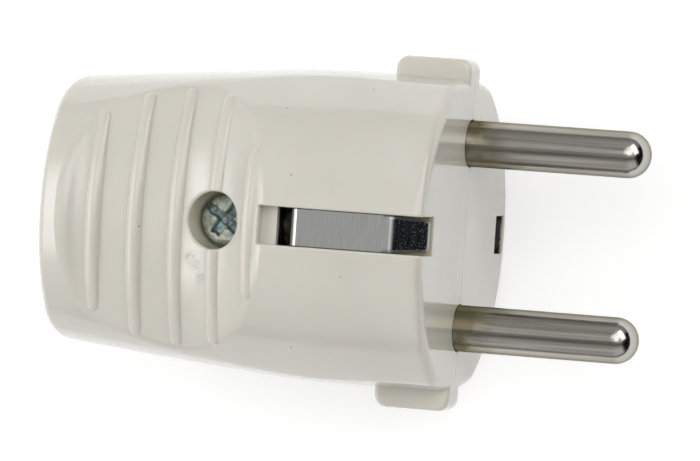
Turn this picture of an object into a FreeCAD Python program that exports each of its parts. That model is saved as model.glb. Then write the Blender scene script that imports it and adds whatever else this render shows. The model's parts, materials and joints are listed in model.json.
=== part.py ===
import FreeCAD, Part
import math
import os

# Two-pin earthed mains plug, rewireable, lying on one of its earth contacts.
# The middle of the front face is the origin and the pins point along +X.
# +Y runs from pin to pin, and +Z is the way the upper earth contact faces.
# Two moulded half shells meet on the plane Z = 0, which runs through both pins.
# All sizes are in millimetres.

# Pins
pin_spacing = 19.0
pin_dia = 4.8
pin_length = 19.0
pin_tip_radius = 2.35
pin_neck_dia = 4.4
pin_collar_dia = 6.6
pin_collar_thickness = 1.5
pin_clearance = 0.08

# Drilled block behind each pin
block_length = 9.0
block_width = 6.8
block_height = 6.8
wire_hole_dia = 3.4
wire_hole_end_wall = 1.2
block_edge_radius = 0.55
leaf_width = 2.0
leaf_thickness = 0.4
leaf_drop = 0.6
leaf_tail_height = 2.6
block_cradle_thickness = 1.2
block_cradle_setback = 0.1

# Terminal screws
terminal_screw_dia = 3.0
terminal_head_dia = 5.0
terminal_head_height = 1.8
terminal_head_lift = 0.25
terminal_slot_width = 0.8
terminal_slot_depth = 0.9
terminal_head_edge_radius = 0.45
thread_clearance = 0.04

# Body, whose section is a circle with flattened sides that narrows towards the rear
straight_length = 15.0
pin_to_side = 6.6
side_flat = 0.8
rear_height_drop = 2.35
rear_depth_drop = 4.2
height_taper_power = 1.2
depth_taper_power = 1.3
front_side_radius = 35.0
rear_side_radius = 16.0
front_corner_radius = 1.8
rear_corner_radius = 7.0
front_edge_radius = 1.0
rear_edge_radius = 0.9
taper_stations = 4

# Walls
wall = 2.0
front_wall = 3.5
rear_wall = 2.5
bulkhead_thickness = 1.8
parting_gap = 0.06

# Guide tabs above and below the pins
tab_stand_out = 2.0
tab_length = 8.0
tab_thickness = 4.0
tab_root_depth = 2.5
tab_corner_radius = 1.3
tab_edge_radius = 0.5

# Grip recess on each half
grip_floor_sink = 0.4
grip_crown_radius = 26.0
grip_rear_distance = 5.0
grip_front_distance = 11.7
grip_front_radius = 17.5
grip_rear_radius = 3.0
grip_front_rise = 6.0
grip_rear_rise = 1.6
grip_edge_radius = 2.0

# Ribs across the grip
rib_first_distance = 0.8
rib_hole_gap = 0.58
rib_hole_shift = 0.09
ribs_behind_hole = 3
rib_half_lengths = [10.4, 12.5, 13.3, 12.9, 7.8]
rib_height = 0.6
rib_end_height = 0.2
rib_round_radius = 0.9

# Earth contact, one strip bent round both halves
strap_width = 3.7
strap_tip_width = 2.9
strap_tip_radius = 0.4
strap_thickness = 0.8
strap_sink = 0.7
strap_leg_place = 14.2
strap_bend_place = 3.4
strap_end_drop = 3.2
strap_end_setback = 0.1
strap_shoulder_radius = 1.0
strap_bend_radius = 0.9
strap_end_radius = 0.35
slot_clearance = 0.1
slot_tail_length = 3.1
slot_gap_length = 1.44
slot_edge_radius = 0.2
slot_floor_wall = 0.8
slot_side_wall = 1.6
bridge_length = 1.5
bridge_thickness = 1.6
leg_clearance = 0.2

# Earth terminal, a drilled block peened through the strip's inner leg
earth_block_depth = 4.0
earth_block_width = 6.8
earth_block_height = 6.8
earth_hole_dia = 2.4
earth_screw_dia = 2.5
earth_stub_dia = 2.0
earth_stub_head_dia = 2.8
earth_stub_head_height = 0.5
earth_stub_spacing = 4.4
earth_head_margin = 0.1

# Screw and nut that hold the halves together
screw_hole_wall = 2.75
screw_dia = 3.0
screw_end_spare = 0.1
screw_head_dia = 5.3
screw_head_height = 2.1
screw_head_seat = 7.0
screw_head_edge_radius = 0.7
screw_hole_dia = 5.9
screw_hole_edge_radius = 0.25
screw_turn_deg = 25.0
screw_cross_width = 0.95
screw_cross_length = 3.5
screw_cross_depth = 1.2
screw_slot_width = 0.7
screw_slot_depth = 0.7
screw_passage_clearance = 0.15
nut_across_flats = 5.5
nut_thickness = 2.4
nut_seat = 6.0
nut_clearance = 0.1
boss_dia = 9.0

# Cord inlet and clamp
cord_hole_dia = 9.0
clamp_distance = 8.0
clamp_width = 5.0
clamp_thickness = 3.0
clamp_arch_dia = 8.2
clamp_arch_wall = 2.0
clamp_corner_radius = 2.0
clamp_seat_drop = 1.0
clamp_end_length = 2.5
clamp_head_clearance = 0.1
clamp_screw_dia = 2.9
clamp_screw_length = 9.0
clamp_head_dia = 5.4
clamp_head_height = 1.9
clamp_boss_dia = 6.2
clamp_hole_clearance = 0.15
clamp_pilot_extra = 0.3
cord_rest_thickness = 1.8

# How far a cutter reaches past a face, and how close counts as the same place
overshoot = 1.0
nearness = 0.01

# Places that follow from the sizes above
front_half_height = pin_spacing / 2.0 + pin_to_side
front_half_depth = front_half_height + side_flat
reach = 2.0 * front_half_depth
rear_half_height = front_half_height - rear_height_drop
rear_half_depth = front_half_depth - rear_depth_drop
tab_reach = front_half_height + tab_stand_out
strap_half_height = front_half_depth - strap_sink
strap_end_height = strap_half_height - strap_end_drop
slot_length = strap_leg_place + slot_tail_length
screw_place = slot_length + screw_hole_wall + screw_hole_dia / 2.0
screw_length = screw_head_seat + nut_seat + nut_thickness + screw_end_spare
grip_floor_height = rear_half_depth - grip_floor_sink
grip_floor_front = slot_length + grip_front_distance
rib_pitch = screw_hole_dia / 2.0 + rib_hole_gap + rib_round_radius
rib_first = screw_place - rib_hole_shift + ribs_behind_hole * rib_pitch
grip_floor_rear = rib_first + rib_first_distance
body_length = grip_floor_rear + grip_rear_distance
clamp_place = body_length - clamp_distance
far = 2.0 * body_length
pin_places = [pin_spacing / 2.0, -pin_spacing / 2.0]
collar_front = -front_wall
collar_rear = collar_front - pin_collar_thickness
bulkhead_front = collar_rear - pin_clearance
bulkhead_rear = bulkhead_front - bulkhead_thickness
block_front = bulkhead_rear - pin_clearance
block_rear = block_front - block_length
block_screw_x = (block_front + block_rear) / 2.0
leaf_top = wire_hole_dia / 2.0 - leaf_drop
slot_half_width = strap_width / 2.0 + slot_clearance
grip_axis_height = grip_floor_height - grip_crown_radius
strap_leg_rear = -strap_leg_place
strap_leg_front = strap_leg_rear + strap_thickness
clamp_screw_spacing = clamp_arch_dia + 2.0 * clamp_arch_wall + clamp_head_dia + 2.0 * clamp_head_clearance


def box(x_range, y_range, z_range):
    """Block between two planes on each axis."""
    size = [high - low for low, high in (x_range, y_range, z_range)]
    return Part.makeBox(*size, FreeCAD.Vector(x_range[0], y_range[0], z_range[0]))


def rod(dia, start, end):
    """Round bar from one point to another."""
    start = FreeCAD.Vector(*start)
    along = FreeCAD.Vector(*end) - start
    return Part.makeCylinder(dia / 2.0, along.Length, start, along)


def prism_along_y(points, half_width):
    """Outline of (x, z) points, drawn out to both sides of the plane Y = 0."""
    corners = [FreeCAD.Vector(x, -half_width, z) for x, z in points]
    face = Part.Face(Part.makePolygon(corners + corners[:1]))
    return face.extrude(FreeCAD.Vector(0, 2.0 * half_width, 0))


def round_edges(shape, radius, chosen):
    """Shape with the edges that the test picks rounded off."""
    edges = [edge for edge in shape.Edges if chosen(edge)]
    return shape.makeFillet(radius, edges)


def touches(shell, edge):
    """True where the middle of the edge lies on the shell."""
    middle = edge.valueAt((edge.FirstParameter + edge.LastParameter) / 2.0)
    return shell.distToShape(Part.Vertex(middle))[0] < nearness / 10.0


def cut_with_soft_rim(shape, cutter, skin, radius):
    """Shape with the cutter taken out and the edge that this leaves in the skin rounded off."""
    return round_edges(shape.cut(cutter), radius,
                       lambda edge: touches(cutter.Shells[0], edge) and touches(skin, edge))


def mirrored(shape):
    """The same form on the other side of the parting plane."""
    return shape.mirror(FreeCAD.Vector(0, 0, 0), FreeCAD.Vector(0, 0, 1))


def arc(start, middle, end):
    return Part.Arc(start, middle, end).toShape()


def section(x, half_height, half_depth, round_r, side_r, corner_r):
    """Closed section of the body: two round backs, two flatter sides and four rounded corners."""
    back = (0.0, half_depth - round_r)
    side = (half_height - side_r, 0.0)
    gap = math.dist(back, side)
    to_back = round_r - corner_r
    to_side = side_r - corner_r
    lean = math.atan2(side[1] - back[1], side[0] - back[0])
    turn = math.acos((to_back ** 2 + gap ** 2 - to_side ** 2) / (2.0 * to_back * gap))
    angle = lean - turn if lean > 0 else lean + 2.0 * math.pi - turn
    corner = (back[0] + to_back * math.cos(angle), back[1] + to_back * math.sin(angle))

    def from_centre(centre, radius, through):
        scale = radius / math.dist(centre, through)
        return (centre[0] + (through[0] - centre[0]) * scale, centre[1] + (through[1] - centre[1]) * scale)

    back_end = from_centre(back, round_r, corner)
    side_end = from_centre(side, side_r, corner)
    halfway = ((back_end[0] + side_end[0]) / 2.0, (back_end[1] + side_end[1]) / 2.0)
    corner_mid = from_centre(corner, corner_r, halfway)

    def at(point, y_sign, z_sign):
        return FreeCAD.Vector(x, y_sign * point[0], z_sign * point[1])

    edges = []
    for y_sign, z_sign in ((1, 1), (1, -1), (-1, -1), (-1, 1)):
        around = [at(back_end, y_sign, z_sign), at(corner_mid, y_sign, z_sign), at(side_end, y_sign, z_sign)]
        if y_sign * z_sign < 0:
            around.reverse()
        edges.append(arc(*around))
        if y_sign * z_sign > 0:
            edges.append(arc(around[2], at((half_height, 0.0), y_sign, 1), at(side_end, y_sign, -z_sign)))
        else:
            edges.append(arc(around[2], at((0.0, half_depth), 1, z_sign), at(back_end, -y_sign, z_sign)))
    return Part.Wire(edges)


def envelope(inset):
    """Body before its grips are cut, drawn inwards by the inset."""
    places = [(0.0, 0.0), (straight_length / 2.0, 0.0)]
    taper = body_length - straight_length
    for step in range(taper_stations + 1):
        share = step / taper_stations
        places.append((straight_length + share * taper, share))
    wires = []
    for distance, share in places:
        half_height = front_half_height + (rear_half_height - front_half_height) * share ** height_taper_power
        half_depth = front_half_depth + (rear_half_depth - front_half_depth) * share ** depth_taper_power
        side_r = front_side_radius + (rear_side_radius - front_side_radius) * share
        corner_r = front_corner_radius + (rear_corner_radius - front_corner_radius) * share
        least_corner = front_corner_radius / 4.0
        wires.append(section(-distance, half_height - inset, half_depth - inset, front_half_depth - inset,
                             side_r - inset, max(corner_r - inset, least_corner)))
    return Part.makeLoft(wires, True, False)


def grip_hollow(sink):
    """Dished space over the grip's floor, turned about an axis along the body."""
    floor = grip_floor_height - sink
    front_run = math.sqrt(2.0 * grip_front_radius * grip_front_rise - grip_front_rise ** 2)
    rear_run = math.sqrt(2.0 * grip_rear_radius * grip_rear_rise - grip_rear_rise ** 2)

    def on_arc(start, radius, run):
        return FreeCAD.Vector(start + run, 0, floor + radius - math.sqrt(radius ** 2 - run ** 2))

    rear_points = [on_arc(-grip_floor_rear, grip_rear_radius, -rear_run * share) for share in (1.0, 0.5, 0.0)]
    front_points = [on_arc(-grip_floor_front, grip_front_radius, front_run * share)
                    for share in (0.0, 0.5, 1.0)]
    rear_top = FreeCAD.Vector(rear_points[0].x, 0, reach)
    front_top = FreeCAD.Vector(front_points[2].x, 0, reach)
    outline = Part.Wire([
        arc(*rear_points),
        Part.makeLine(rear_points[2], front_points[0]),
        arc(*front_points),
        Part.makeLine(front_points[2], front_top),
        Part.makeLine(front_top, rear_top),
        Part.makeLine(rear_top, rear_points[0]),
    ])
    axis_point = FreeCAD.Vector(0, 0, grip_axis_height - sink)
    return Part.Face(outline).revolve(axis_point, FreeCAD.Vector(1, 0, 0), 360)


def grip_floor_at(x):
    """Height of the grip's floor on the middle line."""
    if x > -grip_floor_front:
        run = x + grip_floor_front
        return grip_floor_height + grip_front_radius - math.sqrt(grip_front_radius ** 2 - run ** 2)
    return grip_floor_height


def grip_ribs():
    """Raised round ribs across the grip, each bent more than the floor, so that it sinks at its ends."""
    ribs = []
    for number, half_length in enumerate(rib_half_lengths):
        x = -rib_first + number * rib_pitch
        floor = grip_floor_at(x)
        floor_radius = floor - grip_axis_height
        end_place = half_length - rib_round_radius
        fall = floor_radius - math.sqrt(floor_radius ** 2 - end_place ** 2) + rib_height - rib_end_height
        ring_radius = (end_place ** 2 + fall ** 2) / (2.0 * fall)
        centre = FreeCAD.Vector(x, 0, floor + rib_height - rib_round_radius - ring_radius)
        turn = math.asin(end_place / ring_radius)
        side = FreeCAD.Vector(0, ring_radius * math.sin(turn), 0)
        rise = FreeCAD.Vector(0, 0, ring_radius * math.cos(turn))
        along = FreeCAD.Vector(0, math.cos(turn), -math.sin(turn))
        along_start = FreeCAD.Vector(0, -math.cos(turn), -math.sin(turn))
        profile = Part.Face(Part.Wire(Part.makeCircle(rib_round_radius, centre + rise - side, along_start)))
        rib = profile.revolve(centre, FreeCAD.Vector(-1, 0, 0), math.degrees(2.0 * turn))
        for place, outwards in ((centre + rise - side, along_start), (centre + rise + side, along)):
            rib = rib.fuse(Part.makeSphere(rib_round_radius, place, outwards, 0, 90, 360))
        ribs.append(rib)
    return ribs


def guide_tab(side):
    """Rounded block that stands out of the body beside a pin."""
    inner = front_half_height - tab_root_depth
    half = tab_thickness / 2.0
    tab = box((-tab_length, 0.0), (inner, tab_reach), (-half, half))
    tab = round_edges(tab, tab_corner_radius, lambda edge: edge.BoundBox.YMin > tab_reach - nearness
                      and edge.BoundBox.XLength < nearness)
    tab = round_edges(tab, tab_edge_radius, lambda edge: edge.BoundBox.ZLength < nearness
                      and edge.BoundBox.YMax > inner + nearness)
    if side < 0:
        tab.rotate(FreeCAD.Vector(0, 0, 0), FreeCAD.Vector(1, 0, 0), 180)
    return tab


def body_form():
    """Outer form of both halves together: tapered body, grips with ribs, and guide tabs."""
    form = envelope(0.0)
    form = round_edges(form, front_edge_radius, lambda edge: edge.BoundBox.XMin > -nearness)
    form = round_edges(form, rear_edge_radius, lambda edge: edge.BoundBox.XMax < nearness - body_length)
    hollow = grip_hollow(0.0)
    for cutter in (hollow, mirrored(hollow)):
        form = cut_with_soft_rim(form, cutter, form.Shells[0], grip_edge_radius)
    ribs = grip_ribs()
    form = form.fuse(ribs + [mirrored(rib) for rib in ribs])
    return form.fuse([guide_tab(1), guide_tab(-1)])


def strap_corners():
    """Outer and inner corners (x, z) of the upper contact, from its front end to its shoulder."""
    end = (-strap_end_setback, strap_end_height)
    bend = (-strap_bend_place, strap_half_height)
    slope = math.atan2(bend[1] - end[1], end[0] - bend[0])
    inner_end = (end[0] - strap_thickness * math.sin(slope), end[1] - strap_thickness * math.cos(slope))
    inner_bend = (bend[0] - strap_thickness * math.tan(slope / 2.0), bend[1] - strap_thickness)
    outer = [end, bend, (strap_leg_rear, strap_half_height)]
    inner = [inner_end, inner_bend, (strap_leg_front, strap_half_height - strap_thickness)]
    return outer, inner


def contact_slot(bridged):
    """Slot of a contact: the strip's own form, open outwards, and the gap that its leg goes through.

    A bridged slot leaves the rim of the front face standing, so that the strip's end is held under it.
    """
    outer, inner = strap_corners()
    floor = inner[2][1]
    outline = [(-slot_length, reach), (-slot_length, floor), inner[1], inner[0], (overshoot, inner[0][1])]
    if bridged:
        under = front_half_depth - bridge_thickness
        outline += [(overshoot, under), (-bridge_length, under), (-bridge_length, reach)]
    else:
        outline += [(overshoot, reach)]
    gap = box((strap_leg_rear - slot_gap_length, strap_leg_front + leg_clearance),
              (-slot_half_width, slot_half_width), (0.0, floor + nearness))
    return prism_along_y(outline, slot_half_width).fuse(gap)


def shared_features():
    """Walls and bosses that the inner space of both halves leaves standing."""
    across = (-front_half_height, front_half_height)
    bulkhead = box((bulkhead_rear, bulkhead_front), across, (0.0, reach))
    pad_floor = strap_half_height - strap_thickness - slot_floor_wall
    pad_side = slot_half_width + slot_side_wall
    pad = box((-slot_length - slot_side_wall, 0.0), (-pad_side, pad_side), (pad_floor, reach))
    boss = rod(boss_dia, (-screw_place, 0, 0), (-screw_place, 0, reach))
    cradles = []
    for y in pin_places:
        cradle_rear = block_rear + block_cradle_setback
        cradles.append(box((cradle_rear, cradle_rear + block_cradle_thickness),
                           (y - block_width / 2.0, y + block_width / 2.0),
                           (block_height / 2.0 + thread_clearance, reach)))
    return [bulkhead, pad, boss] + cradles


def half_shell(form, inner, features, bridged):
    """Upper half of the form with its inner space taken out around the features."""
    upper = box((-far, far), (-far, far), (parting_gap / 2.0, reach))
    space = inner.common(box((-body_length + rear_wall, -front_wall), (-far, far), (-overshoot, reach)))
    for feature in features:
        space = space.cut(feature)
    shell = form.common(upper).cut(space)
    for y in pin_places:
        shell = shell.cut(rod(pin_dia + 2.0 * pin_clearance, (-front_wall - overshoot, y, 0),
                              (overshoot, y, 0)))
        shell = shell.cut(rod(pin_neck_dia + 2.0 * pin_clearance, (bulkhead_rear - overshoot, y, 0),
                              (bulkhead_front + overshoot, y, 0)))
    shell = shell.cut(rod(cord_hole_dia, (-body_length - overshoot, 0, 0),
                          (-body_length + rear_wall + overshoot, 0, 0)))
    return cut_with_soft_rim(shell, contact_slot(bridged), form.Shells[0], slot_edge_radius)


def inner_space():
    """Room inside the walls, kept a wall's thickness under the grips."""
    space = envelope(wall)
    hollow = grip_hollow(wall)
    return space.cut(hollow).cut(mirrored(hollow))


def upper_shell(form, inner):
    shell = half_shell(form, inner, shared_features(), False)
    hole = rod(screw_hole_dia, (-screw_place, 0, screw_head_seat), (-screw_place, 0, reach))
    shell = cut_with_soft_rim(shell, hole, form.Shells[0], screw_hole_edge_radius)
    passage = screw_dia + 2.0 * screw_passage_clearance
    return shell.cut(rod(passage, (-screw_place, 0, -overshoot),
                         (-screw_place, 0, screw_head_seat + overshoot)))


def hexagon(across_flats, x, z_low, z_high):
    """Six-sided bar along Z."""
    radius = across_flats / math.sqrt(3.0)
    corners = []
    for number in range(6):
        angle = math.radians(60.0 * number)
        corners.append(FreeCAD.Vector(x + radius * math.cos(angle), radius * math.sin(angle), z_low))
    face = Part.Face(Part.makePolygon(corners + corners[:1]))
    return face.extrude(FreeCAD.Vector(0, 0, z_high - z_low))


def lower_shell(form, inner):
    """The other half, made upper side up and then turned over by a mirror."""
    half_spacing = clamp_screw_spacing / 2.0
    features = shared_features()
    for y in (-half_spacing, half_spacing):
        features.append(rod(clamp_boss_dia, (-clamp_place, y, clamp_seat_drop), (-clamp_place, y, reach)))
    rest = box((-clamp_place - cord_rest_thickness / 2.0, -clamp_place + cord_rest_thickness / 2.0),
               (-half_spacing, half_spacing), (clamp_seat_drop, reach))
    features.append(rest.cut(rod(clamp_arch_dia, (-far, 0, 0), (far, 0, 0))))
    shell = half_shell(form, inner, features, True)
    pocket = nut_across_flats + 2.0 * nut_clearance
    shell = shell.cut(hexagon(pocket, -screw_place, nut_seat, reach))
    passage = screw_dia + 2.0 * screw_passage_clearance
    shell = shell.cut(rod(passage, (-screw_place, 0, -overshoot), (-screw_place, 0, nut_seat + overshoot)))
    pilot = clamp_screw_dia + 2.0 * thread_clearance
    pilot_end = clamp_screw_length - clamp_thickness + clamp_seat_drop + clamp_pilot_extra
    for y in (-half_spacing, half_spacing):
        shell = shell.cut(rod(pilot, (-clamp_place, y, 0), (-clamp_place, y, pilot_end)))
    return mirrored(shell)


def pin(y):
    """Solid round pin with a domed tip, a collar behind the front wall and a drilled block."""
    shaft = rod(pin_dia, (0, y, 0), (pin_length, y, 0))
    shaft = round_edges(shaft, pin_tip_radius, lambda edge: edge.BoundBox.XMin > pin_length - nearness)
    neck = rod(pin_neck_dia, (block_front, y, 0), (0, y, 0))
    collar = rod(pin_collar_dia, (collar_rear, y, 0), (collar_front - pin_clearance, y, 0))
    block = box((block_rear, block_front), (y - block_width / 2.0, y + block_width / 2.0),
                (-block_height / 2.0, block_height / 2.0))
    block = round_edges(block, block_edge_radius,
                        lambda edge: edge.BoundBox.XLength > block_length - nearness)
    solid = shaft.fuse([neck, collar, block])
    hole = rod(wire_hole_dia, (block_rear - overshoot, y, 0), (block_front - wire_hole_end_wall, y, 0))
    tapping = rod(terminal_screw_dia + 2.0 * thread_clearance, (block_screw_x, y, 0),
                  (block_screw_x, y, block_height))
    return solid.cut(hole).cut(tapping)


def pressure_plate(y):
    """Leaf in the wire hole with a tail bent up behind the block."""
    half = leaf_width / 2.0
    low = leaf_top - leaf_thickness
    tail_x = block_rear - thread_clearance
    leaf = box((tail_x - leaf_thickness, block_screw_x + terminal_screw_dia), (y - half, y + half),
               (low, leaf_top))
    tail = box((tail_x - leaf_thickness, tail_x), (y - half, y + half), (low, low + leaf_tail_height))
    return leaf.fuse(tail).removeSplitter()


def slotted_screw(x, y, tip, seat, dia, head_dia, head_height):
    """Screw along Z with a rounded head and one slot."""
    shank = rod(dia, (x, y, tip), (x, y, seat))
    head = rod(head_dia, (x, y, seat), (x, y, seat + head_height))
    top = seat + head_height
    head = round_edges(head, terminal_head_edge_radius, lambda edge: edge.BoundBox.ZMin > top - nearness)
    slot = box((x - head_dia, x + head_dia), (y - terminal_slot_width / 2.0, y + terminal_slot_width / 2.0),
               (top - terminal_slot_depth, top + overshoot))
    return shank.fuse(head).cut(slot).removeSplitter()


def terminal_screw(y):
    seat = block_height / 2.0 + terminal_head_lift
    return slotted_screw(block_screw_x, y, leaf_top, seat, terminal_screw_dia, terminal_head_dia,
                         terminal_head_height)


def strap_plan():
    """Plan of a contact: full width up to the bend, then narrowing to a tip with round corners."""
    half_width = strap_width / 2.0
    half_tip = strap_tip_width / 2.0
    side = [(-slot_length, half_width), (-strap_bend_place, half_width), (-strap_end_setback, half_tip)]
    around = side + [(x, -y) for x, y in reversed(side)]
    corners = [FreeCAD.Vector(x, y, 0) for x, y in around]
    plan = Part.Face(Part.makePolygon(corners + corners[:1])).extrude(FreeCAD.Vector(0, 0, reach))
    return round_edges(plan, strap_tip_radius, lambda edge: edge.BoundBox.ZLength > nearness
                       and edge.BoundBox.XMin > -strap_end_setback - nearness)


def earth_strap():
    """One strip: a contact on each side, joined by a leg that runs straight through the plug."""
    outer, inner = strap_corners()
    upper_outline = outer + inner[::-1]
    half_width = strap_width / 2.0

    def near(edge, point):
        middle = edge.BoundBox.Center
        across = edge.BoundBox.YLength > strap_width - nearness
        return across and math.dist((middle.x, middle.z), point) < nearness

    contact = prism_along_y(upper_outline, half_width)
    contact = round_edges(contact, strap_end_radius, lambda edge: near(edge, outer[0]))
    contact = round_edges(contact, strap_bend_radius, lambda edge: near(edge, outer[1]))
    contact = contact.common(strap_plan())
    leg = box((strap_leg_rear, strap_leg_front), (-half_width, half_width),
              (-strap_half_height, strap_half_height))
    strap = leg.fuse([contact, mirrored(contact)]).removeSplitter()
    shoulders = [(strap_leg_rear, strap_half_height), (strap_leg_rear, -strap_half_height)]
    strap = round_edges(strap, strap_shoulder_radius,
                        lambda edge: any(near(edge, point) for point in shoulders))
    for z in (-earth_stub_spacing / 2.0, earth_stub_spacing / 2.0):
        strap = strap.cut(rod(earth_stub_dia + 2.0 * thread_clearance, (strap_leg_rear - overshoot, 0, z),
                              (strap_leg_front + overshoot, 0, z)))
    return strap


def earth_terminal():
    """Drilled block behind the strip's leg, with two stubs peened over in front of it."""
    rear = strap_leg_rear - earth_block_depth
    half_width = earth_block_width / 2.0
    half_height = earth_block_height / 2.0
    block = box((rear, strap_leg_rear), (-half_width, half_width), (-half_height, half_height))
    for z in (-earth_stub_spacing / 2.0, earth_stub_spacing / 2.0):
        stub = rod(earth_stub_dia, (strap_leg_rear - earth_stub_head_height, 0, z), (strap_leg_front, 0, z))
        head = rod(earth_stub_head_dia, (strap_leg_front, 0, z),
                   (strap_leg_front + earth_stub_head_height, 0, z))
        block = block.fuse([stub, head])
    middle = strap_leg_rear - earth_block_depth / 2.0
    block = block.cut(rod(earth_hole_dia, (middle, -earth_block_width, 0), (middle, earth_block_width, 0)))
    return block.cut(rod(earth_screw_dia + 2.0 * thread_clearance, (middle, 0, 0),
                         (middle, 0, earth_block_height)))


def earth_terminal_screw():
    middle = strap_leg_rear - earth_block_depth / 2.0
    seat = earth_block_height / 2.0 + terminal_head_lift
    head_dia = min(terminal_head_dia, earth_block_depth) - 2.0 * earth_head_margin
    return slotted_screw(middle, 0.0, earth_hole_dia / 2.0, seat, earth_screw_dia, head_dia,
                         terminal_head_height)


def housing_screw():
    """Screw with a rounded head that takes a cross or a flat driver."""
    top = screw_head_seat + screw_head_height
    shank = rod(screw_dia, (-screw_place, 0, screw_head_seat - screw_length),
                (-screw_place, 0, screw_head_seat))
    head = rod(screw_head_dia, (-screw_place, 0, screw_head_seat), (-screw_place, 0, top))
    head = round_edges(head, screw_head_edge_radius, lambda edge: edge.BoundBox.ZMin > top - nearness)
    recesses = []
    for length, width, depth, turn in (
        (screw_cross_length, screw_cross_width, screw_cross_depth, 0.0),
        (screw_cross_length, screw_cross_width, screw_cross_depth, 90.0),
        (2.0 * screw_head_dia, screw_slot_width, screw_slot_depth, 0.0),
    ):
        cutter = box((-length / 2.0, length / 2.0), (-width / 2.0, width / 2.0),
                     (top - depth, top + overshoot))
        cutter.rotate(FreeCAD.Vector(0, 0, 0), FreeCAD.Vector(0, 0, 1), turn + screw_turn_deg)
        cutter.translate(FreeCAD.Vector(-screw_place, 0, 0))
        recesses.append(cutter)
    return shank.fuse(head).cut(recesses).removeSplitter()


def housing_nut():
    """Hexagon nut in its pocket on the lower half."""
    nut = hexagon(nut_across_flats, -screw_place, -nut_seat - nut_thickness, -nut_seat)
    return nut.cut(rod(screw_dia + 2.0 * thread_clearance, (-screw_place, 0, -far), (-screw_place, 0, 0)))


def cord_clamp():
    """Saddle that arches over the cord, with a flat end on each boss."""
    half_length = clamp_screw_spacing / 2.0 + clamp_end_length
    across = (-clamp_place - clamp_width / 2.0, -clamp_place + clamp_width / 2.0)
    low = -clamp_seat_drop
    high = low + clamp_thickness
    bar = box(across, (-half_length, half_length), (low, high))
    bar = round_edges(bar, clamp_corner_radius,
                      lambda edge: edge.BoundBox.ZLength > clamp_thickness - nearness)
    arch_dia = clamp_arch_dia + 2.0 * clamp_arch_wall
    arch = rod(arch_dia, (across[0], 0, 0), (across[1], 0, 0))
    arch = arch.common(box((-far, far), (-far, far), (low, far)))
    saddle = bar.fuse(arch).cut(rod(clamp_arch_dia, (-far, 0, 0), (far, 0, 0)))
    for y in (-clamp_screw_spacing / 2.0, clamp_screw_spacing / 2.0):
        saddle = saddle.cut(rod(clamp_screw_dia + 2.0 * clamp_hole_clearance,
                                (-clamp_place, y, low - overshoot), (-clamp_place, y, high + overshoot)))
    return saddle.removeSplitter()


def clamp_screw(side):
    seat = clamp_thickness - clamp_seat_drop
    return slotted_screw(-clamp_place, side * clamp_screw_spacing / 2.0, seat - clamp_screw_length, seat,
                         clamp_screw_dia, clamp_head_dia, clamp_head_height)


def main():
    form = body_form()
    inner = inner_space()
    parts = {
        "upper_shell": upper_shell(form, inner),
        "lower_shell": lower_shell(form, inner),
        "line_pin": pin(pin_places[0]),
        "neutral_pin": pin(pin_places[1]),
        "line_pressure_plate": pressure_plate(pin_places[0]),
        "neutral_pressure_plate": pressure_plate(pin_places[1]),
        "line_terminal_screw": terminal_screw(pin_places[0]),
        "neutral_terminal_screw": terminal_screw(pin_places[1]),
        "earth_strap": earth_strap(),
        "earth_terminal": earth_terminal(),
        "earth_terminal_screw": earth_terminal_screw(),
        "housing_screw": housing_screw(),
        "housing_nut": housing_nut(),
        "cord_clamp": cord_clamp(),
        "cord_clamp_screw_left": clamp_screw(-1),
        "cord_clamp_screw_right": clamp_screw(1),
    }
    os.makedirs("parts", exist_ok=True)
    for name, shape in parts.items():
        shape.exportStep("parts/" + name + ".step")
        print(name, "solids", len(shape.Solids), "valid", shape.isValid(), "mm3", round(shape.Volume, 1))


main()
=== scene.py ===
import json
import math

import bmesh
import bpy
from mathutils import Matrix, Vector, noise


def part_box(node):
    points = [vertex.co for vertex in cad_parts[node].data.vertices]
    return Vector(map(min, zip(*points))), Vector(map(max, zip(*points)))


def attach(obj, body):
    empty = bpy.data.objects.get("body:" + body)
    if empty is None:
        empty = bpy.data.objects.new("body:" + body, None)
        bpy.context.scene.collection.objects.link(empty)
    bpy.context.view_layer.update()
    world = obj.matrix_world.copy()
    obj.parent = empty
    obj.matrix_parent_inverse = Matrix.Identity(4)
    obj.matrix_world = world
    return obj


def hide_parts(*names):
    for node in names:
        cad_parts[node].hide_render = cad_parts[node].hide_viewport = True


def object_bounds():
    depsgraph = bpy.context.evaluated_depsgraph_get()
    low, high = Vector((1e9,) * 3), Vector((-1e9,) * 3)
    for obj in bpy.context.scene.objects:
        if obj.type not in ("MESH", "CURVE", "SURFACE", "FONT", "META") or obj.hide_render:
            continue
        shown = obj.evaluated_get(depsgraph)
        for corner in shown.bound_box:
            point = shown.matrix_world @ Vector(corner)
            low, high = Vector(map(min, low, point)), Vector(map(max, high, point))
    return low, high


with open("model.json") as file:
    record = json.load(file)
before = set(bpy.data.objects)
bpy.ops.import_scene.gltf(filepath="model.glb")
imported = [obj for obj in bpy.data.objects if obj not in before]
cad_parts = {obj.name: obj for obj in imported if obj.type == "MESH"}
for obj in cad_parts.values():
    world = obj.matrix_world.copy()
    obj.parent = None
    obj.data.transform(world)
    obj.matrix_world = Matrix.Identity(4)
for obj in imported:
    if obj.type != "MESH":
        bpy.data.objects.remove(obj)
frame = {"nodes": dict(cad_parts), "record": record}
cad_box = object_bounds()

# The photograph's camera, in the plug's own frame: +X the way the pins point, +Z up as the plug lies
IMAGE_WIDTH = 700
TURN_TO_PINS = math.radians(15.8)
TURN_TO_TOP_PIN = math.radians(1.45)
ROLL = math.radians(3.93)
DISTANCE = 0.7
PIXELS_PER_METRE = 9740.0
SENSOR = 0.036
MILLIMETRES = 1000.0
AIM_RIGHT = -0.0118
AIM_UP = 0.00055
CLIP_NEAR = 0.01
CLIP_FAR = 50.0

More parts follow.
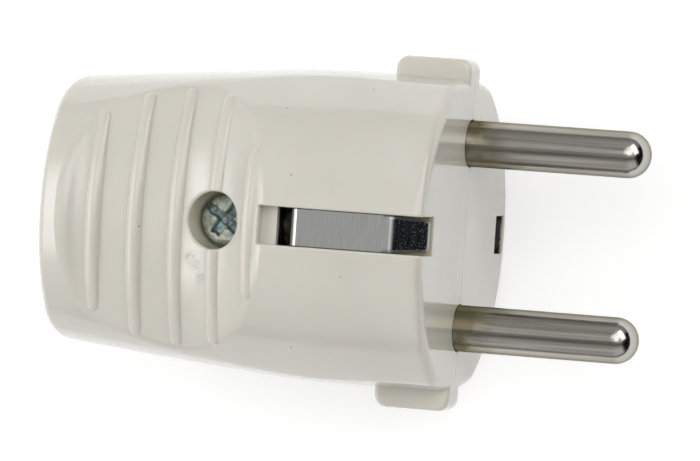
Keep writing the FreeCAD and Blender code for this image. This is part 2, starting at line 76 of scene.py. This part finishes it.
# The studio room: the grey of its wall at so many degrees from straight above towards +Y
WALL_GREYS = ((-90, 0.25), (-84, 0.25), (-77, 0.7), (-62, 0.76), (-48, 0.72), (-38, 0.58), (-30, 0.42),
              (-24, 0.2), (-17, 0.17), (-11, 0.42), (-4, 0.7), (4, 0.72), (12, 0.64), (20, 0.5),
              (29, 0.4), (40, 0.55), (55, 0.54), (68, 0.46), (80, 0.36), (90, 0.28))
QUARTER_TURN = 90.0
# The room's end before the pins: the X of a direction where it begins and where it is darkest, and the
# share of light that is left there
END_WALL = (0.6, 0.84)
END_WALL_LIGHT = 0.02

# The floor's half width in metres, and how much it glows for the camera and in reflections
FLOOR_HALF_SIZE = 1.2
FLOOR_LIFT = 0.42

# Painted light inside the screw hole and painted shade in the front of the slots and in the far notch,
# with lengths in metres, and dirt below the screw hole and how dark the specks are
HOLE_RADIUS = 0.00295
HOLE_MARGIN = 0.0001
HOLE_PAINTED_LIGHT_HEIGHTS = (0.0085, 0.0123)
SLOT_HALF_WIDTH = 0.0021
SLOT_PAINTED_SHADE_HEIGHTS = (0.0115, 0.0161)
SLOT_PAINTED_SHADE_RUN = (-0.0045, -0.00006)
NOTCH_PAINTED_SHADE_EDGE = (-0.00012, 0.00002)
NOTCH_PAINTED_SHADE_RAGGEDNESS = 0.0004
SMUDGES = (((-0.0256, -0.0040, 0.0124), 0.0011), ((-0.0250, -0.0047, 0.0124), 0.0010),
           ((-0.0243, -0.0060, 0.0124), 0.0008))
SPECK_DARKNESS = 0.75

# Where the looks of the pins and of the contact strip change along X, with lengths in metres, and how
# much their tips, grain and pits show
PIN_TIP = (0.0168, 0.0174)
PIN_TIP_POLISH = 0.07
PIN_ROOT = (0.0018, 0.0046)
PIN_GRAIN_RELIEF = 0.5
STRIP_SLOPING_END = (-0.0035, -0.0029)
STRIP_PIT_ROUGHNESS = 0.4
STRIP_FRONT_BEND = -0.0043
STRIP_REAR_BEND = -0.0155
STRIP_BEND_RADIUS = 0.00045
BEND_SAMPLES = 6

# The housing screw, with lengths in metres
SCREW_PLACE = Vector((-0.023, 0.0, 0.0))
SCREW_TURN = math.radians(-36.0)
SCREW_RADIUS = 0.0015
SCREW_HEAD_RADIUS = 0.00265
SCREW_HEAD_HEIGHT = 0.0021
SCREW_HEAD_EDGE = 0.0007
SCREW_SLOT_WIDTH = 0.00075
SCREW_SLOT_DEPTH = 0.0007
SCREW_CROSS_REACH = 0.0018
SCREW_CROSS_WIDTH = 0.0009
SCREW_CROSS_FLARE = 0.5
SCREW_CROSS_DEPTH = 0.0013
SCREW_CROSS_RISE = 0.45
SCREW_RECESS_SLOPE = 0.00018
SCREW_WEAR = 0.00005
SCREW_WEAR_SCALE = 2200.0
SCREW_CHEWED = 0.00022
SCREW_CHEWED_SCALE = 1100.0
SCREW_RUBBED_DEPTH = 0.0001
SCREW_DARKENING_DEPTH = 0.0003
SCREW_GRIT_RELIEF = 0.5
HEAD_RINGS = 44
HEAD_SECTORS = 128

# Screw threads, with lengths in metres, and the radius and the head's height of each screw
THREAD_PITCH = 0.0005
THREAD_HEIGHT = 0.00012
THREAD_RUN_OUT = 0.0006
THREAD_STEPS_A_TURN = 20
RIDGE_SIDES = 3
RIDGE_SWELLING_TURNS = 0.8
RIDGE_SMALLEST = 0.02
THREADED_SCREWS = {
    "housing_screw": (SCREW_RADIUS, SCREW_HEAD_HEIGHT),
    "line_terminal_screw": (0.0015, 0.0018),
    "neutral_terminal_screw": (0.0015, 0.0018),
    "earth_terminal_screw": (0.00125, 0.0018),
    "cord_clamp_screw_left": (0.00145, 0.0019),
    "cord_clamp_screw_right": (0.00145, 0.0019),
}

# The sockets of a Mix node for each kind of value: first, second and result
MIX_SOCKETS = {"RGBA": (6, 7, 2), "VECTOR": (4, 5, 1)}


class NodeTree:
    """Short calls for the nodes that the lights, the room, the finishes and the threads share."""

    def __init__(self, tree):
        self.nodes = tree.nodes
        self.links = tree.links

    def add(self, kind, **settings):
        node = self.nodes.new(kind)
        for name, value in settings.items():
            setattr(node, name, value)
        return node

    def feed(self, socket, value):
        """Link another node's output to a socket, or write a plain value in it."""
        if isinstance(value, bpy.types.NodeSocket):
            self.links.new(value, socket)
        else:
            socket.default_value = value

    def combine(self, operation, first, second=0.0):
        node = self.add("ShaderNodeMath", operation=operation)
        self.feed(node.inputs[0], first)
        self.feed(node.inputs[1], second)
        return node.outputs[0]

    def product(self, first, *others):
        for other in others:
            first = self.combine("MULTIPLY", first, other)
        return first

    def within(self, value, low, high):
        """1 between low and high, and 0 elsewhere."""
        return self.product(self.combine("LESS_THAN", value, high), self.combine("GREATER_THAN", value, low))

    def split(self, vector):
        """The X, Y and Z of a vector."""
        node = self.add("ShaderNodeSeparateXYZ")
        self.feed(node.inputs[0], vector)
        return tuple(node.outputs)

    def spread(self, value, low, high, start=0.0, end=1.0, interpolation="LINEAR"):
        """The value mapped from start..end to low..high, and held there outside it."""
        node = self.add("ShaderNodeMapRange", interpolation_type=interpolation)
        node.inputs["From Min"].default_value = start
        node.inputs["From Max"].default_value = end
        node.inputs["To Min"].default_value = low
        node.inputs["To Max"].default_value = high
        self.feed(node.inputs["Value"], value)
        return node.outputs["Result"]

    def ramp(self, value, *stops):
        """Colour that blends from stop to stop, each a place between 0 and 1 and the colour there."""
        node = self.add("ShaderNodeValToRGB")
        elements = node.color_ramp.elements
        while len(elements) < len(stops):
            elements.new(0.5)
        for element, (position, colour) in zip(elements, stops):
            element.position = position
            element.color = (*colour, 1.0)
        self.feed(node.inputs["Fac"], value)
        return node.outputs["Color"]

    def mix(self, kind, share, first, second):
        node = self.add("ShaderNodeMix", data_type=kind)
        first_socket, second_socket, result = MIX_SOCKETS[kind]
        self.feed(node.inputs["Factor"], share)
        self.feed(node.inputs[first_socket], first)
        self.feed(node.inputs[second_socket], second)
        return node.outputs[result]


def photo_axes():
    """Directions towards the camera, to the right and up in the picture."""
    towards = Vector((math.sin(TURN_TO_PINS), 0, math.cos(TURN_TO_PINS)))
    right = Vector((math.cos(TURN_TO_PINS), 0, -math.sin(TURN_TO_PINS)))
    up = Vector((0, 1, 0))
    towards_tipped = towards * math.cos(TURN_TO_TOP_PIN) + up * math.sin(TURN_TO_TOP_PIN)
    up_tipped = up * math.cos(TURN_TO_TOP_PIN) - towards * math.sin(TURN_TO_TOP_PIN)
    right_rolled = right * math.cos(ROLL) + up_tipped * math.sin(ROLL)
    up_rolled = up_tipped * math.cos(ROLL) - right * math.sin(ROLL)
    return towards_tipped, right_rolled, up_rolled


def add_camera():
    """The photograph's camera, far enough away to see the plug almost without perspective."""
    towards, right, up = photo_axes()
    data = bpy.data.cameras.new("photo_camera")
    data.sensor_width = SENSOR * MILLIMETRES
    data.lens = PIXELS_PER_METRE * DISTANCE * SENSOR * MILLIMETRES / IMAGE_WIDTH
    data.clip_start = CLIP_NEAR
    data.clip_end = CLIP_FAR
    camera = bpy.data.objects.new("photo_camera", data)
    bpy.context.collection.objects.link(camera)
    place = right * AIM_RIGHT + up * AIM_UP + towards * DISTANCE
    camera.matrix_world = Matrix((
        (right.x, up.x, towards.x, place.x),
        (right.y, up.y, towards.y, place.y),
        (right.z, up.z, towards.z, place.z),
        (0, 0, 0, 1),
    ))
    bpy.context.scene.camera = camera


def fade_to_edges(data, share):
    """Let an area light fade over the outer part of its surface, as a diffuser's cloth does."""
    data.use_nodes = True
    tree = NodeTree(data.node_tree)
    across, upwards, _ = tree.split(tree.add("ShaderNodeNewGeometry").outputs["Parametric"])
    fades = []
    for side in (across, upwards):
        off_middle = tree.combine("ABSOLUTE", tree.combine("SUBTRACT", side, 0.5))
        fades.append(tree.spread(off_middle, 1.0, 0.0, 0.5 - share, 0.5, "SMOOTHSTEP"))
    tree.feed(tree.nodes["Emission"].inputs["Strength"], tree.product(*fades))


def softbox(name, azimuth, elevation, distance, width, height, brightness, fade):
    """Area light aimed at the plug, with its width and height measured at half its brightness.

    Azimuth runs from +X towards +Y, a brightness of 1 looks white, and the light fades out over a
    share of its size at each edge.
    """
    turn, rise = math.radians(azimuth), math.radians(elevation)
    level = math.cos(rise)
    place = Vector((level * math.cos(turn), level * math.sin(turn), math.sin(rise))) * distance
    data = bpy.data.lights.new(name, "AREA")
    data.shape = "RECTANGLE"
    data.size = width / (1.0 - fade)
    data.size_y = height / (1.0 - fade)
    data.energy = brightness * math.pi * data.size * data.size_y
    fade_to_edges(data, fade)
    lamp = bpy.data.objects.new(name, data)
    bpy.context.collection.objects.link(lamp)
    lamp.location = place
    lamp.rotation_euler = (-place).to_track_quat("-Z", "Y").to_euler()


def studio_room():
    """Grey room round the plug: lighter and darker stretches of wall, and a dark end before the pins."""
    world = bpy.data.worlds.new("studio_room")
    bpy.context.scene.world = world
    world.use_nodes = True
    tree = NodeTree(world.node_tree)
    x, y, z = tree.split(tree.add("ShaderNodeTexCoord").outputs["Generated"])
    share = tree.spread(tree.combine("ARCTAN2", y, z), 0.0, 1.0, -math.pi / 2.0, math.pi / 2.0)
    walls = [((degrees + QUARTER_TURN) / (2.0 * QUARTER_TURN), (grey, grey, grey))
             for degrees, grey in WALL_GREYS]
    background = tree.nodes["Background"].inputs
    tree.feed(background["Color"], tree.ramp(share, *walls))
    tree.feed(background["Strength"], tree.spread(x, 1.0, END_WALL_LIGHT, *END_WALL, "SMOOTHSTEP"))


def add_lights():
    softbox("window_before_pins", azimuth=38.0, elevation=37.0, distance=0.6,
            width=0.5, height=0.25, brightness=2.3, fade=0.06)
    softbox("window_over_plug", azimuth=52.0, elevation=66.0, distance=0.6,
            width=0.36, height=0.36, brightness=1.7, fade=0.3)
    softbox("high_window_behind", azimuth=184.0, elevation=45.0, distance=0.65,
            width=0.6, height=0.14, brightness=3.9, fade=0.3)
    softbox("low_window_behind", azimuth=188.0, elevation=27.0, distance=0.65,
            width=0.6, height=0.16, brightness=2.0, fade=0.3)
    studio_room()


class Finish(NodeTree):
    """A material whose patterns follow Object coordinates."""

    def __init__(self, name):
        self.material = bpy.data.materials.new(name)
        self.material.use_nodes = True
        super().__init__(self.material.node_tree)
        self.shader = self.nodes["Principled BSDF"]
        self.place = self.add("ShaderNodeTexCoord").outputs["Object"]

    def set(self, **values):
        """Give the shader's sockets, by name, a plain value or another node's output."""
        for name, value in values.items():
            self.feed(self.shader.inputs[name.replace("_", " ")], value)

    def stretched(self, scale):
        """Object coordinates, each multiplied by its own factor."""
        node = self.add("ShaderNodeMapping", vector_type="TEXTURE")
        node.inputs["Scale"].default_value = tuple(1.0 / factor for factor in scale)
        self.feed(node.inputs["Vector"], self.place)
        return node.outputs["Vector"]

    def noise(self, scale, detail=2.0, rough=0.5, vector=None):
        node = self.add("ShaderNodeTexNoise")
        node.inputs["Scale"].default_value = scale
        node.inputs["Detail"].default_value = detail
        node.inputs["Roughness"].default_value = rough
        self.feed(node.inputs["Vector"], vector or self.place)
        return node.outputs["Fac"]

    def tint(self, share, first, second):
        """The first colour, turned into the second by a share."""
        if isinstance(second, tuple):
            second = (*second, 1.0)
        return self.mix("RGBA", share, first, second)

    def distance_to(self, place, vector=None):
        node = self.add("ShaderNodeVectorMath", operation="DISTANCE")
        node.inputs[1].default_value = place
        self.feed(node.inputs[0], vector or self.place)
        return node.outputs["Value"]

    def distance_across(self, x, y):
        """Distance from an upright line through a place in the plan."""
        flat = self.add("ShaderNodeVectorMath", operation="MULTIPLY")
        flat.inputs[1].default_value = (1.0, 1.0, 0.0)
        self.feed(flat.inputs[0], self.place)
        return self.distance_to((x, y, 0.0), flat.outputs["Vector"])

    def soft_edges(self, radius, share):
        """Normals that round the edges off, by a share that is 0 or 1."""
        bevel = self.add("ShaderNodeBevel", samples=BEND_SAMPLES)
        bevel.inputs["Radius"].default_value = radius
        plain = self.add("ShaderNodeNewGeometry").outputs["Normal"]
        return self.mix("VECTOR", share, plain, bevel.outputs["Normal"])

    def specks(self, cells, radius, chosen):
        """1 in small round spots, in a chosen share of so many cells to the metre, and 0 elsewhere."""
        node = self.add("ShaderNodeTexVoronoi")
        node.inputs["Scale"].default_value = cells
        self.feed(node.inputs["Vector"], self.place)
        inside = self.combine("LESS_THAN", node.outputs["Distance"], radius * cells)
        draw = self.split(node.outputs["Color"])[0]
        return self.product(inside, self.combine("LESS_THAN", draw, chosen))

    def bump(self, height, strength, distance, normal=None):
        node = self.add("ShaderNodeBump")
        if normal is not None:
            self.feed(node.inputs["Normal"], normal)
        node.inputs["Strength"].default_value = strength
        node.inputs["Distance"].default_value = distance
        self.feed(node.inputs["Height"], height)
        return node.outputs["Normal"]


def shell_dirt(m):
    """Share of dirt on the shells: a few dark specks, and a faint smudge below the screw hole."""
    specks = m.combine("MAXIMUM", m.specks(cells=480.0, radius=0.00011, chosen=0.16),
                       m.specks(cells=170.0, radius=0.00018, chosen=0.1))
    grime = m.spread(m.noise(4200.0, detail=5.0, rough=0.7), 0.1, 1.0, start=0.42, end=0.66)
    smudge = 0.0
    for place, radius in SMUDGES:
        near = m.spread(m.distance_to(place), 1.0, 0.0, end=radius)
        smudge = m.combine("MAXIMUM", near, smudge)
    return m.combine("MAXIMUM", m.product(specks, SPECK_DARKNESS), m.product(smudge, grime))


def with_painted_light_and_shade(m, tone):
    """The shells' tone, with cream painted light inside the screw hole, brownish painted shade in the slots'
    front and dark painted shade in the notch.
    """
    x, y, z = m.split(m.place)
    round_hole = m.combine("LESS_THAN", m.distance_across(SCREW_PLACE.x, SCREW_PLACE.y),
                           HOLE_RADIUS + HOLE_MARGIN)
    hole_painted_light = m.product(round_hole, m.spread(z, 1.0, 0.0, *HOLE_PAINTED_LIGHT_HEIGHTS))
    # Painted light: a cream lighter than the plastic's own tone lifts the shade deep in the screw hole
    tone = m.tint(hole_painted_light, tone, (0.95, 0.92, 0.75))
    between_walls = m.combine("LESS_THAN", m.combine("ABSOLUTE", y), SLOT_HALF_WIDTH)
    slot_painted_shade = m.product(between_walls, m.within(m.combine("ABSOLUTE", z), *SLOT_PAINTED_SHADE_HEIGHTS),
                        m.within(x, *SLOT_PAINTED_SHADE_RUN))
    # Painted shade: brownish darkening beside the strips in the front of both slots
    tone = m.tint(slot_painted_shade, tone, (0.5, 0.44, 0.33))
    # Painted shade: near black with a ragged edge in the far notch, where the hollow behind the face lies in
    # shade
    ragged = m.combine("ADD", x, m.product(m.noise(1500.0, detail=3.0), NOTCH_PAINTED_SHADE_RAGGEDNESS))
    notch_painted_shade = m.product(slot_painted_shade, m.combine("LESS_THAN", z, 0.0),
                         m.spread(ragged, 1.0, 0.0, *NOTCH_PAINTED_SHADE_EDGE))
    return m.tint(notch_painted_shade, tone, (0.02, 0.016, 0.01))


def shell_plastic():
    """Glossy warm light grey moulding, faintly cloudy, with hair scuffs, painted light in the screw hole,
    painted shade in the slots and the notch, specks and a smudge.
    """
    m = Finish("shell_plastic")
    tone = m.ramp(m.noise(140.0, detail=3.0), (0.3, (0.635, 0.615, 0.55)), (0.7, (0.66, 0.64, 0.575)))
    scuffs = m.noise(900.0, detail=5.0, rough=0.65, vector=m.stretched((0.35, 1.0, 1.0)))
    m.set(Base_Color=m.tint(shell_dirt(m), with_painted_light_and_shade(m, tone), (0.2, 0.18, 0.14)),
          Roughness=m.spread(scuffs, 0.1, 0.24, start=0.35, end=0.75),
          Normal=m.bump(m.noise(230.0, detail=1.0), strength=0.12, distance=0.00004))
    m.set(IOR=1.5, Coat_Weight=0.35, Coat_Roughness=0.08)
    m.set(Subsurface_Weight=0.3, Subsurface_Radius=(1.0, 0.75, 0.45), Subsurface_Scale=0.0012)
    return m.material


def nickel_plating():
    """Worn nickel plating with fine grain, dark draw marks, a smoother tip and an olive tint at the root that
    is a painted reflection of the warm plastic face.
    """
    m = Finish("nickel_plating")
    x = m.split(m.place)[0]
    marks = m.noise(2600.0, detail=4.0, rough=0.6, vector=m.stretched((0.03, 1.0, 1.0)))
    plated = m.ramp(marks, (0.36, (0.31, 0.297, 0.262)), (0.62, (0.43, 0.413, 0.372)))
    tip = m.spread(x, 0.0, 1.0, *PIN_TIP)
    plated = m.tint(tip, plated, (0.44, 0.43, 0.4))
    # Painted reflection: a darker olive tint near the root stands in for the warm plastic face mirrored in
    # the pin
    patches = m.spread(m.noise(420.0, detail=3.0), 0.3, 1.0, start=0.35, end=0.6)
    root = m.product(m.spread(x, 1.0, 0.0, *PIN_ROOT), patches)
    grain = m.noise(9000.0)
    satin = m.spread(grain, 0.1, 0.26, start=0.3, end=0.7)
    relief = m.combine("ADD", m.product(grain, PIN_GRAIN_RELIEF), marks)
    m.set(Base_Color=m.tint(root, plated, (0.21, 0.185, 0.115)),
          Roughness=m.combine("SUBTRACT", satin, m.product(tip, PIN_TIP_POLISH)),
          Normal=m.bump(relief, strength=0.25, distance=0.00002))
    m.set(Metallic=1.0, Specular_Tint=(0.45, 0.43, 0.38, 1.0))
    return m.material


def contact_strip():
    """Rolled and plated strip with fine lines across it, soft bends, and pits on its darker sloping end."""
    m = Finish("contact_strip")
    x = m.split(m.place)[0]
    lines = m.noise(7000.0, detail=3.0, rough=0.6, vector=m.stretched((1.0, 0.04, 0.3)))
    sloping_end = m.spread(x, 0.0, 1.0, *STRIP_SLOPING_END)
    pits = m.product(m.spread(m.noise(7500.0), 0.0, 0.7, start=0.6, end=0.72), sloping_end)
    metal = m.ramp(lines, (0.3, (0.38, 0.38, 0.365)), (0.7, (0.46, 0.46, 0.445)))
    metal = m.tint(sloping_end, metal, (0.36, 0.41, 0.45))
    polish = m.spread(lines, 0.1, 0.2, start=0.3, end=0.7)
    bends = m.combine("MAXIMUM", m.combine("GREATER_THAN", x, STRIP_FRONT_BEND),
                      m.combine("LESS_THAN", x, STRIP_REAR_BEND))
    m.set(Base_Color=m.tint(pits, metal, (0.52, 0.56, 0.6)),
          Roughness=m.combine("ADD", polish, m.product(pits, STRIP_PIT_ROUGHNESS)),
          Normal=m.bump(lines, strength=0.08, distance=0.00002,
                        normal=m.soft_edges(STRIP_BEND_RADIUS, bends)))
    m.set(Metallic=1.0)
    return m.material


def screw_zinc(name, dark_below=None):
    """Dull zinc plating worn to a pale grey, and bluer and darker below a height where tools don't rub it."""
    m = Finish(name)
    worn = m.noise(1700.0, detail=5.0, rough=0.65)
    tone = m.ramp(worn, (0.3, (0.32, 0.36, 0.33)), (0.5, (0.54, 0.58, 0.5)), (0.66, (0.78, 0.79, 0.7)))
    if dark_below is not None:
        height = m.split(m.place)[2]
        deep = m.spread(height, 1.0, 0.0, dark_below - SCREW_DARKENING_DEPTH, dark_below)
        tone = m.tint(deep, tone, m.ramp(worn, (0.35, (0.2, 0.28, 0.3)), (0.65, (0.46, 0.56, 0.57))))
    grit = m.product(m.noise(5200.0, detail=3.0, rough=0.6), SCREW_GRIT_RELIEF)
    m.set(Base_Color=tone,
          Roughness=m.spread(worn, 0.55, 0.36, start=0.35, end=0.65),
          Normal=m.bump(m.combine("ADD", worn, grit), strength=0.6, distance=0.00005))
    m.set(Metallic=0.9)
    return m.material


def terminal_brass():
    """Machined brass, a little cloudy."""
    m = Finish("terminal_brass")
    marks = m.noise(1500.0, detail=4.0, rough=0.6)
    m.set(Base_Color=m.ramp(marks, (0.3, (0.58, 0.42, 0.18)), (0.7, (0.74, 0.57, 0.28))),
          Roughness=m.spread(marks, 0.2, 0.38, start=0.3, end=0.7))
    m.set(Metallic=1.0)
    return m.material


def clamp_plastic():
    """Matt grey moulding, faintly cloudy."""
    m = Finish("clamp_plastic")
    cloud = m.noise(500.0, detail=3.0)
    m.set(Base_Color=m.ramp(cloud, (0.3, (0.42, 0.41, 0.37)), (0.7, (0.48, 0.47, 0.43))),
          Roughness=m.spread(cloud, 0.42, 0.6, start=0.3, end=0.7))
    return m.material


def floor_paper():
    """Matt white paper, lifted to full white for the camera and in reflections, with its shadow kept."""
    m = Finish("floor_paper")
    rays = m.add("ShaderNodeLightPath").outputs
    seen = m.combine("MAXIMUM", rays["Is Camera Ray"],
                     m.combine("MAXIMUM", rays["Is Glossy Ray"], rays["Is Transmission Ray"]))
    m.set(Base_Color=m.ramp(m.noise(5.0), (0.3, (0.8, 0.8, 0.8)), (0.7, (0.82, 0.82, 0.82))),
          Emission_Strength=m.product(seen, FLOOR_LIFT))
    m.set(Roughness=0.9, Emission_Color=(1, 1, 1, 1), Specular_IOR_Level=0.0)
    return m.material


def add_floor():
    low = cad_box[0][2]
    half = FLOOR_HALF_SIZE
    mesh = bpy.data.meshes.new("floor")
    mesh.from_pydata([(-half, -half, low), (half, -half, low), (half, half, low), (-half, half, low)], [],
                     [(0, 1, 2, 3)])
    floor = bpy.data.objects.new("floor", mesh)
    bpy.context.collection.objects.link(floor)
    floor.data.materials.append(floor_paper())


def add_piece(name, data):
    """An added piece that belongs to one of the screws."""
    piece = bpy.data.objects.new(name, data)
    bpy.context.collection.objects.link(piece)
    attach(piece, "root")
    return piece


def soft_step(value, edge, slope):
    """0 below the edge and 1 above it, with a slope between."""
    share = min(max((value - edge) / slope + 0.5, 0.0), 1.0)
    return share * share * (3.0 - 2.0 * share)


def recess_depth(x, y):
    """Depth of the worn cross and slot at a place on the screw head."""
    half_slot = SCREW_SLOT_WIDTH / 2.0
    slot = 1.0 - soft_step(abs(y), half_slot, SCREW_RECESS_SLOPE)
    depth = SCREW_SLOT_DEPTH * slot
    for along, across in ((x, y), (y, x)):
        share = min(abs(along) / SCREW_CROSS_REACH, 1.0)
        half_arm = SCREW_CROSS_WIDTH / 2.0 * (1.0 + SCREW_CROSS_FLARE * (1.0 - share) ** 2)
        inside = 1.0 - soft_step(abs(across), half_arm, SCREW_RECESS_SLOPE)
        inside *= 1.0 - soft_step(abs(along), SCREW_CROSS_REACH, SCREW_RECESS_SLOPE)
        depth = max(depth, SCREW_CROSS_DEPTH * (1.0 - SCREW_CROSS_RISE * share) * inside)
    return depth


def head_height(x, y, top):
    """Height of the head's face: flat, rounded off at its edge, recessed, chewed and a little worn."""
    radius = math.hypot(x, y)
    past_flat = max(radius - (SCREW_HEAD_RADIUS - SCREW_HEAD_EDGE), 0.0)
    drop = SCREW_HEAD_EDGE - math.sqrt(max(SCREW_HEAD_EDGE ** 2 - past_flat ** 2, 0.0))
    chewed_x = x + SCREW_CHEWED * noise.noise(Vector((x, y, 0.001)) * SCREW_CHEWED_SCALE)
    chewed_y = y + SCREW_CHEWED * noise.noise(Vector((y, x, 0.004)) * SCREW_CHEWED_SCALE)
    turned_x = chewed_x * math.cos(SCREW_TURN) + chewed_y * math.sin(SCREW_TURN)
    turned_y = chewed_y * math.cos(SCREW_TURN) - chewed_x * math.sin(SCREW_TURN)
    wear = SCREW_WEAR * noise.noise(Vector((x, y, 0.0)) * SCREW_WEAR_SCALE)
    return top - drop - recess_depth(turned_x, turned_y) + wear


def circle(radius):
    """Places round a circle, measured from the housing screw's axis."""
    angles = [2.0 * math.pi * sector / HEAD_SECTORS for sector in range(HEAD_SECTORS)]
    return [(radius * math.cos(angle), radius * math.sin(angle)) for angle in angles]


def worn_housing_screw(finish):
    """Stand-in for the plain CAD screw, with its recess turned and worn as in the photograph."""
    low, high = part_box("housing_screw")
    seat = high[2] - SCREW_HEAD_HEIGHT
    mesh = bmesh.new()

    def corner(x, y, height):
        return mesh.verts.new((SCREW_PLACE.x + x, SCREW_PLACE.y + y, height))

    top = corner(0.0, 0.0, head_height(0.0, 0.0, high[2]))
    bottom = corner(0.0, 0.0, low[2])
    rings = []
    for number in range(1, HEAD_RINGS + 1):
        radius = SCREW_HEAD_RADIUS * math.sin(math.pi / 2.0 * number / HEAD_RINGS)
        rings.append([corner(x, y, head_height(x, y, high[2])) for x, y in circle(radius)])
    for radius, height in ((SCREW_HEAD_RADIUS, seat), (SCREW_RADIUS, seat), (SCREW_RADIUS, low[2])):
        rings.append([corner(x, y, height) for x, y in circle(radius)])
    for sector in range(HEAD_SECTORS):
        following = (sector + 1) % HEAD_SECTORS
        mesh.faces.new((top, rings[0][sector], rings[0][following]))
        for inner, outer in zip(rings, rings[1:]):
            mesh.faces.new((inner[sector], outer[sector], outer[following], inner[following]))
        mesh.faces.new((rings[-1][sector], bottom, rings[-1][following]))
    bmesh.ops.recalc_face_normals(mesh, faces=mesh.faces)
    data = bpy.data.meshes.new("housing_screw_worn")
    mesh.to_mesh(data)
    mesh.free()
    data.materials.append(finish)
    for face in data.polygons:
        face.use_smooth = True
    piece = add_piece("housing_screw_worn", data)
    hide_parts("housing_screw")


def thread_tree(finish):
    """Geometry Nodes tree that winds a three-sided ridge round a shank and lets it run out at both ends."""
    group = bpy.data.node_groups.new("screw_thread", "GeometryNodeTree")
    sockets = {}
    for name, kind in (("Radius", "NodeSocketFloat"), ("Length", "NodeSocketFloat"),
                       ("Pitch", "NodeSocketFloat"), ("Ridge Height", "NodeSocketFloat"),
                       ("Start", "NodeSocketVector")):
        sockets[name] = group.interface.new_socket(name=name, in_out="INPUT", socket_type=kind).identifier
    group.interface.new_socket(name="Geometry", in_out="OUTPUT", socket_type="NodeSocketGeometry")
    tree = NodeTree(group)
    given = tree.add("NodeGroupInput").outputs

    spiral = tree.add("GeometryNodeCurveSpiral")
    tree.feed(spiral.inputs["Resolution"], THREAD_STEPS_A_TURN)
    tree.feed(spiral.inputs["Rotations"], tree.combine("DIVIDE", given["Length"], given["Pitch"]))
    tree.feed(spiral.inputs["Start Radius"], given["Radius"])
    tree.feed(spiral.inputs["End Radius"], given["Radius"])
    tree.feed(spiral.inputs["Height"], given["Length"])

    along = tree.add("GeometryNodeSplineParameter").outputs["Length"]
    total = tree.add("GeometryNodeSplineLength").outputs["Length"]
    swelling = tree.product(given["Radius"], 2.0 * math.pi, RIDGE_SWELLING_TURNS)
    from_start = tree.combine("DIVIDE", along, swelling)
    from_end = tree.combine("DIVIDE", tree.combine("SUBTRACT", total, along), swelling)
    swell = tree.combine("MINIMUM", tree.combine("MINIMUM", from_start, from_end), 1.0)
    swell = tree.combine("MAXIMUM", swell, RIDGE_SMALLEST)

    ridge = tree.add("GeometryNodeCurvePrimitiveCircle")
    tree.feed(ridge.inputs["Resolution"], RIDGE_SIDES)
    tree.feed(ridge.inputs["Radius"], given["Ridge Height"])
    sweep = tree.add("GeometryNodeCurveToMesh")
    tree.feed(sweep.inputs["Curve"], spiral.outputs[0])
    tree.feed(sweep.inputs["Profile Curve"], ridge.outputs[0])
    tree.feed(sweep.inputs["Scale"], swell)
    tree.feed(sweep.inputs["Fill Caps"], True)

    move = tree.add("GeometryNodeTransform")
    tree.feed(move.inputs["Geometry"], sweep.outputs[0])
    tree.feed(move.inputs["Translation"], given["Start"])
    real = tree.add("GeometryNodeRealizeInstances")
    tree.feed(real.inputs[0], move.outputs[0])
    paint = tree.add("GeometryNodeSetMaterial")
    tree.feed(paint.inputs["Geometry"], real.outputs[0])
    tree.feed(paint.inputs["Material"], finish)
    tree.feed(tree.add("NodeGroupOutput").inputs[0], paint.outputs[0])
    return group, sockets


def add_threads(finish):
    """A thread on the shank of each screw, from its tip to a short run-out under its head."""
    group, sockets = thread_tree(finish)
    for name, (radius, head) in THREADED_SCREWS.items():
        low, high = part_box(name)
        start = ((low[0] + high[0]) / 2.0, (low[1] + high[1]) / 2.0, low[2] + THREAD_RUN_OUT / 2.0)
        values = {
            "Radius": radius - THREAD_HEIGHT / 4.0,
            "Length": high[2] - head - THREAD_RUN_OUT - start[2],
            "Pitch": THREAD_PITCH,
            "Ridge Height": THREAD_HEIGHT,
            "Start": start,
        }
        holder = bpy.data.objects.new(name + "_thread_source", bpy.data.meshes.new(name + "_thread_source"))
        bpy.context.collection.objects.link(holder)
        modifier = holder.modifiers.new("thread", "NODES")
        modifier.node_group = group
        for label, value in values.items():
            modifier[sockets[label]] = value
        bpy.context.view_layer.update()
        wound = holder.evaluated_get(bpy.context.evaluated_depsgraph_get())
        data = bpy.data.meshes.new_from_object(wound)
        data.name = name + "_thread"
        bpy.data.objects.remove(holder)
        add_piece(name + "_thread", data)


def finish_nodes():
    """Each CAD node gets the finish of its material slot."""
    finishes = {
        "shell_plastic": shell_plastic(),
        "pin_metal": nickel_plating(),
        "contact_metal": contact_strip(),
        "terminal_brass": terminal_brass(),
        "screw_zinc": screw_zinc("screw_zinc"),
        "clamp_plastic": clamp_plastic(),
    }
    for subpart in frame["record"]["subparts"]:
        node = frame["nodes"][subpart["node"]]
        node.data.materials.clear()
        node.data.materials.append(finishes[subpart["material_slot"]])
    return finishes


def main():
    add_camera()
    add_lights()
    add_floor()
    finishes = finish_nodes()
    head_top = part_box("housing_screw")[1][2]
    worn_housing_screw(screw_zinc("worn_screw_zinc", head_top - SCREW_RUBBED_DEPTH))
    add_threads(finishes["screw_zinc"])
    bpy.context.scene.view_settings.view_transform = "Standard"


main()
